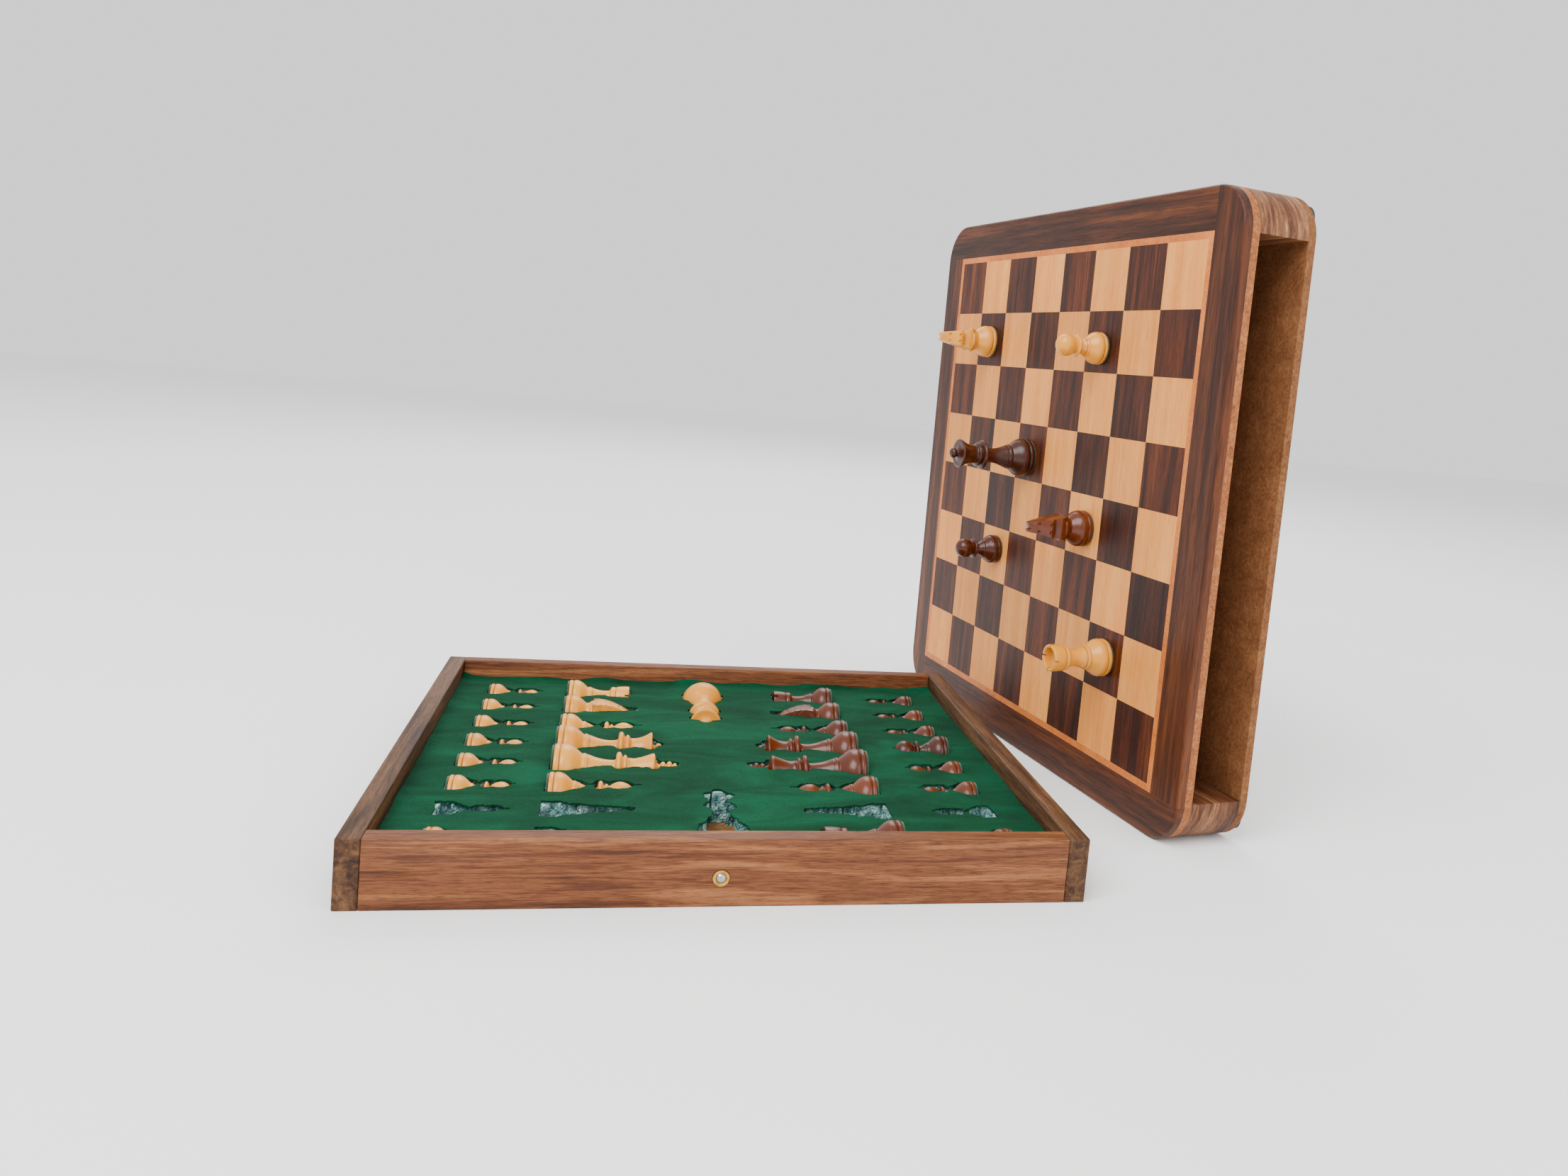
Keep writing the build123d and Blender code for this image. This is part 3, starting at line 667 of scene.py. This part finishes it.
def carveKnight():
    shape = knightShape
    corners = [(x / 1000, 0, z / 1000) for x, z in shape["side"]]
    head = drawOutline("knightHead", corners)
    pick(head)
    bpy.ops.object.mode_set(mode="EDIT")
    bpy.ops.mesh.select_all(action="SELECT")
    bpy.ops.transform.translate(value=(0, -shape["halfWidthLow"], 0))
    bpy.ops.mesh.extrude_region_move(TRANSFORM_OT_translate={"value": (0, 2 * shape["halfWidthLow"], 0)})
    bpy.ops.mesh.select_all(action="SELECT")
    bpy.ops.mesh.normals_make_consistent(inside=False)
    bpy.ops.object.mode_set(mode="OBJECT")
    low, high = min(z for _, _, z in corners), max(z for _, _, z in corners)
    for vertex in head.data.vertices:
        climb = (vertex.co.z - low) / (high - low)
        lean = climb ** 0.8
        vertex.co.y *= (1 - lean) + lean * shape["halfWidthHigh"] / shape["halfWidthLow"]
        if vertex.co.x > 0.0060 and vertex.co.z > 0.0215:
            vertex.co.y *= 1.12
    # the ears stand apart in a V
    deselectAll()
    bpy.ops.mesh.primitive_cylinder_add(vertices=3, radius=0.0022, depth=0.012,
        location=(0.0022, 0, 0.0364),
                                        rotation=(0, math.pi / 2, 0))
    notch = bpy.context.object
    bakePlace(notch)
    carve(head, notch)
    # grooves of the mane across the back of the neck
    for rise in (0.0190, 0.0218, 0.0246, 0.0274, 0.0302):
        for side in (-1, 1):
            deselectAll()
            bpy.ops.mesh.primitive_cube_add(size=1)
            saw = bpy.context.object
            halfWidth = shape["halfWidthLow"] - (rise - low) / (high - low) * (
                shape["halfWidthLow"] - shape["halfWidthHigh"])
            saw.scale = (0.0052, 0.0006, 0.0005)
            saw.rotation_euler = (0, math.radians(-28), 0)
            saw.location = (-0.0052, side * halfWidth * 0.93, rise)
            bakePlace(saw)
            carve(head, saw)
    applyModifier(head, "BEVEL", width=0.00045, segments=2, limit_method="ANGLE",
        angle_limit=math.radians(38))
    for forward, aside, rise, radius in (shape["eye"], shape["nostril"]):
        for side in (-1, 1):
            deselectAll()
            bpy.ops.mesh.primitive_uv_sphere_add(segments=14, ring_count=8, radius=radius,
                                                 location=(forward, side * aside, rise))
            drill = bpy.context.object
            bakePlace(drill)
            carve(head, drill)
    body = turnBody("knight_model", liftRings(shape))
    applyModifier(body, "BOOLEAN", operation="UNION", object=head, solver="MANIFOLD")
    bpy.data.objects.remove(head)
    fixNormals(body)
    smoothed(body, 42)
    markGrain(body, shape)
    return body


pieceShapes = {**turnedShapes, "knight": knightShape}
models = {kind: turnPiece(kind) for kind in turnedShapes}
stage("pieces turned")
models["knight"] = carveKnight()
stage("knight carved")


def cutFelt(kind):
    shape = pieceShapes[kind]
    deselectAll()
    bpy.ops.mesh.primitive_cylinder_add(vertices=48, radius=0.92 * shape["base"], depth=feltThickness,
                                        location=(0, 0, feltThickness / 2))
    felt = bpy.context.object
    bakePlace(felt)
    applyModifier(felt, "BEVEL", width=0.00018, segments=2, limit_method="ANGLE",
        angle_limit=math.radians(60))
    smoothed(felt, 40)
    return felt


felts = {kind: cutFelt(kind) for kind in models}


def kindOf(name):
    return [part for part in name.split("_") if part in pieceShapes][-1]


def trayPlaces():
    places = {}
    for side, sign, heading in (("white", -1, 0), ("brown", 1, 180)):
        for row, name in enumerate(pieceLayout["rank"]):
            away = pieceLayout["firstRow"] - row * pieceLayout["rowPitch"]
            places[f"{side}_{name}"] = (sign * pieceLayout["rankBase"] + pieceLayout["rankShift"], away,
                heading)
            places[f"{side}_pawn_{row + 1}"] = (sign * pieceLayout["pawnBase"], away, heading)
    places["white_extra_queen"] = (pieceLayout["rankShift"], pieceLayout["spareQueen"], -90)
    spareFoot = pieceLayout["spareSlot"] - turnedShapes["queen"]["height"]
    places["brown_extra_queen"] = (pieceLayout["rankShift"], spareFoot, 90)
    return places


def standingMatrix(name, where):
    shape = pieceShapes[kindOf(name)]
    if name in pieceLayout["onBoard"]:
        column, row = pieceLayout["onBoard"][name]
        half = 4 * standingCase["square"]
        spot = standingCase["corner"] + alongFace * (column * standingCase["square"] - half)
        spot += Vector((0, 0, standingCase["face"] / 2 + half - row * standingCase["square"]))
        spot += outOfFace * standingCase["thickness"]
        nose, axis = alongFace, outOfFace
    else:
        across, away, heading = where
        lie = shape["lie"] + (pieceLayout["proudPawnLift"] if name == "brown_pawn_4" else 0)
        spot = Vector((across, away, lie))
        nose = Vector((0, 0, -1))
        axis = Vector((math.cos(math.radians(heading)), math.sin(math.radians(heading)), 0))
    side = axis.cross(nose)
    turned = Matrix((nose, side, axis)).transposed().to_4x4()
    return Matrix.Translation(spot) @ turned


def placePiece(name, where, number):
    kind = kindOf(name)
    matrix = standingMatrix(name, where)
    chance = random.Random(100 + number)
    spin = Matrix.Rotation(0 if kind == "knight" else chance.uniform(0, math.tau), 4, "Z")
    for model, suffix in ((models[kind], "wood"), (felts[kind], "felt")):
        deselectAll()
        piece = bpy.data.objects.new(f"{name}_{suffix}", model.data.copy())
        bpy.context.scene.collection.objects.link(piece)
        piece.matrix_world = matrix @ spin
        bakePlace(piece)
        light = name.startswith("white")
        if suffix == "wood":
            apart = Vector((chance.uniform(0, 1), chance.uniform(0, 1), chance.uniform(0, 1)))
            grain = piece.data.attributes["turnedPlace"]
            for item in grain.data:
                item.vector = item.vector + apart
            dress(piece, finishes["boxwood" if light else "rosewood"], name)
        else:
            dress(piece, finishes["felt"], name)
        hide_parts(name)


for number, (name, where) in enumerate(sorted(trayPlaces().items())):
    placePiece(name, where, number)
for model in list(models.values()) + list(felts.values()):
    bpy.data.objects.remove(model)
stage("pieces placed")


slotCuts = {
    "foamRough": 0.0004,
    "velvetRough": 0.00018,
    "velvetSpare": 0.0006,
    "emptyRough": 5.0,
    "emptyFoot": 0.92,
    "emptyHead": 0.80,
}

slotShapes = {
    "clearance": 0.0005,
    # share of the height where a step ends, share of the base radius it spans
    "king": (0.0560, 0.0111, [(0.23, 1.0), (0.48, 0.64), (0.84, 0.74), (1.0, 0.44)]),
    "queen": (0.0495, 0.0109, [(0.25, 1.0), (0.56, 0.64), (0.91, 0.78), (1.0, 0.36)]),
    "bishop": (0.0390, 0.0094, [(0.27, 1.0), (0.53, 0.62), (0.92, 0.62), (1.0, 0.36)]),
    "knight": (0.0365, 0.0096, [(0.36, 1.0), (0.60, 0.86), (1.0, 0.66)]),
    "rook": (0.0325, 0.0096, [(0.32, 1.0), (0.68, 0.66), (1.0, 0.74)]),
    "pawn": (0.0270, 0.0085, [(0.34, 1.0), (0.53, 0.62), (1.0, 0.70)]),
}


def slotSides(kind):
    # the foam's slot: distance from the foot, and half width, step by step
    height, base, steps = slotShapes[kind]
    spare = slotShapes["clearance"]
    sides, start = [], 0.0
    for index, (end, share) in enumerate(steps):
        before = steps[index - 1][1] if index else None
        after = steps[index + 1][1] if index + 1 < len(steps) else None
        # the wider of two steps keeps the clearance where they meet
        low = start * height + (-spare if before is None or share > before else spare)
        high = end * height + (spare if after is None or share > after else -spare)
        sides += [(low, base * share + spare), (high, base * share + spare)]
        start = end
    return sides


def velvetSides(kind, empty):
    # the velvet closes round the part of the piece that stands above it
    shape = pieceShapes[kind]
    sunk = tray["foamTop"] - shape["lie"]
    outline = liftRings(shape)
    if kind == "knight":
        low, high = 0.0155, shape["height"]
        for step in range(9):
            climb = step / 8
            width = shape["halfWidthLow"] + (shape["halfWidthHigh"] - shape["halfWidthLow"]) * climb ** 0.8
            outline.append((math.hypot(width, sunk), low + climb * (high - low)))
    sides = []
    count = int(shape["height"] / 0.0014)
    for step in range(count + 1):
        along = -0.0006 + step * (shape["height"] + 0.0012) / count
        near = [radius for radius, level in outline if abs(level - along) < 0.0014]
        radius = max(near) if near else 0.001
        width = math.sqrt(max(radius ** 2 - sunk ** 2, 0.0)) + slotCuts["velvetSpare"]
        if empty:
            # an empty slot has half closed, with a ragged edge
            width *= slotCuts["emptyFoot"] if step < 0.4 * count else slotCuts["emptyHead"]
        sides.append((along, max(width, 0.0008)))
    return sides


def slotTools(sidesOf, rough, seed, low, high, layers):
    tools = []
    for number, (name, (across, away, heading)) in enumerate(sorted(trayPlaces().items())):
        empty = name in pieceLayout["onBoard"]
        sides = sidesOf(kindOf(name), empty)
        jitter = rough * (slotCuts["emptyRough"] if empty else 1.0)
        c, s = math.cos(math.radians(heading)), math.sin(math.radians(heading))
        outline = sides + [(x, -y) for x, y in reversed(sides)]
        tool = drawOutline("slotTool",
            [(across + c * x - s * y, away + s * x + c * y, low) for x, y in outline])
        pick(tool)
        bpy.ops.object.mode_set(mode="EDIT")
        bpy.ops.mesh.select_all(action="SELECT")
        bpy.ops.mesh.delete(type="ONLY_FACE")
        bpy.ops.mesh.select_all(action="SELECT")
        bpy.ops.mesh.subdivide(number_cuts=5 if layers > 1 else 1)
        bpy.ops.transform.vertex_random(offset=jitter, seed=seed + number)
        bpy.ops.mesh.select_all(action="SELECT")
        bpy.ops.transform.resize(value=(1, 1, 0), center_override=(0, 0, low))
        bpy.ops.mesh.edge_face_add()
        step = (high - low) / layers
        for layer in range(layers):
            bpy.ops.mesh.extrude_region_move(TRANSFORM_OT_translate={"value": (0, 0, step)})
            if layers > 1:
                bpy.ops.transform.vertex_random(offset=rough * 0.8, seed=seed + 50 * layer + number)
        bpy.ops.mesh.select_all(action="SELECT")
        bpy.ops.mesh.normals_make_consistent(inside=False)
        bpy.ops.object.mode_set(mode="OBJECT")
        tools.append(tool)
    deselectAll()
    for tool in tools:
        tool.select_set(True)
    bpy.context.view_layer.objects.active = tools[0]
    bpy.ops.object.join()
    return tools[0]


def layGrid(name, columns, rows, level, thickness):
    # a flat slab of small faces, its underside at the level given
    deselectAll()
    bpy.ops.mesh.primitive_grid_add(x_subdivisions=columns, y_subdivisions=rows, size=1,
        location=(0, 0, level))
    slab = bpy.context.object
    slab.name = name
    slab.scale = (tray["innerLength"] - 2 * tray["gap"], tray["innerDepth"] - 2 * tray["gap"], 1)
    bakePlace(slab)
    applyModifier(slab, "SOLIDIFY", thickness=thickness, offset=1.0)
    return slab


def makeFoam():
    low, high = tray["bottom"], tray["foamTop"]
    foam = layGrid("foam_block", 66, 60, low, high - low)
    carve(foam, slotTools(lambda kind, empty: slotSides(kind), slotCuts["foamRough"], 300, low - 0.002,
        high + 0.002, 9))
    smoothed(foam, 60)
    dress(foam, finishes["foam"], "tray")
    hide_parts("foam_insert")


def ripple(x, y):
    # how far the velvet stands off the foam, in metres
    slow = noise.noise(Vector((x * 22, y * 55, 3.1)))
    quick = noise.noise(Vector((x * 90, y * 130, 8.7)))
    rise = 0.00030 + 0.00035 * slow + 0.00012 * quick
    toBack = tray["innerDepth"] / 2 - y
    toSide = tray["innerLength"] / 2 - abs(x)
    toFront = y + tray["innerDepth"] / 2
    edge = 0.5 + noise.noise(Vector((x * 48, y * 48, 21.0)))
    for near, height in ((toBack, 0.0022), (toSide, 0.0010), (toFront, 0.0008)):
        rise += height * max(0.0, edge) * math.exp(-near / 0.0035)
    return max(0.00004, rise)


def makeVelvet():
    low, high = tray["foamTop"], tray["velvetTop"]
    velvet = layGrid("velvet_sheet", 150, 138, low, high - low)
    carve(velvet, slotTools(velvetSides, slotCuts["velvetRough"], 700, low - 0.002, high + 0.002, 1))
    for vertex in velvet.data.vertices:
        vertex.co.z += ripple(vertex.co.x, vertex.co.y)
    smoothed(velvet, 60)
    dress(velvet, finishes["velvet"], "tray")
    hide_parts("velvet_cover")


makeFoam()
stage("foam cut")
makeVelvet()
stage("velvet laid")


studio = {
    "floor": (0.93, 0.93, 0.925),
    "sky": 1.25,
    "key": {"at": (-0.9, -1.0, 1.7), "aim": (0.05, 0.0, 0.05), "size": 1.4, "power": 56.0},
    "fill": {"at": (1.1, -1.5, 1.1), "aim": (0.1, 0.0, 0.1), "size": 1.6, "power": 20.0},
    "rim": {"at": (0.3, 1.6, 1.6), "aim": (0.05, 0.0, 0.05), "size": 1.2, "power": 20.0},
}


def layFloor():
    deselectAll()
    bpy.ops.mesh.primitive_plane_add(size=8.0, location=(0, 0, 0))
    floor = bpy.context.object
    floor.name = "floor"
    n = Nodes("paleFloor")
    place = n.add("ShaderNodeTexCoord").outputs["Object"]
    dust = n.add("ShaderNodeTexNoise", Vector=place, Scale=6.0, Detail=2.0).outputs["Fac"]
    low, high = [tuple(c * k for c in studio["floor"]) for k in (0.985, 1.0)]
    n.wire(n.ramp(dust, [(0.3, low), (0.7, high)]), "Base Color")
    n.shader.inputs["Roughness"].default_value = 0.85
    n.shader.inputs["Specular IOR Level"].default_value = 0.1
    floor.data.materials.append(n.material)


def hangLight(name, light):
    deselectAll()
    bpy.ops.object.light_add(type="AREA", location=light["at"])
    lamp = bpy.context.object
    lamp.name = name
    lamp.data.size = light["size"]
    lamp.data.energy = light["power"]
    aim = Vector(light["aim"]) - Vector(light["at"])
    lamp.rotation_euler = aim.to_track_quat("-Z", "Y").to_euler()


def setCamera():
    deselectAll()
    bpy.ops.object.camera_add(location=(-0.04777, -0.56844, 0.20561),
                              rotation=tuple(math.radians(a) for a in (84.693, -5.463, -13.433)))
    camera = bpy.context.object
    camera.name = "mainCamera"
    camera.data.sensor_width = 36.0
    camera.data.lens = 27.581
    camera.data.shift_x = -0.0948
    camera.data.shift_y = -0.0629
    camera.data.clip_start = 0.01
    bpy.context.scene.camera = camera


layFloor()
for name in ("key", "fill", "rim"):
    hangLight(name + "Light", studio[name])
world = bpy.data.worlds.new("studioWorld")
world.use_nodes = True
world.node_tree.nodes["Background"].inputs["Color"].default_value = (1, 1, 1, 1)
world.node_tree.nodes["Background"].inputs["Strength"].default_value = studio["sky"]
bpy.context.scene.world = world
setCamera()
stage("studio set")
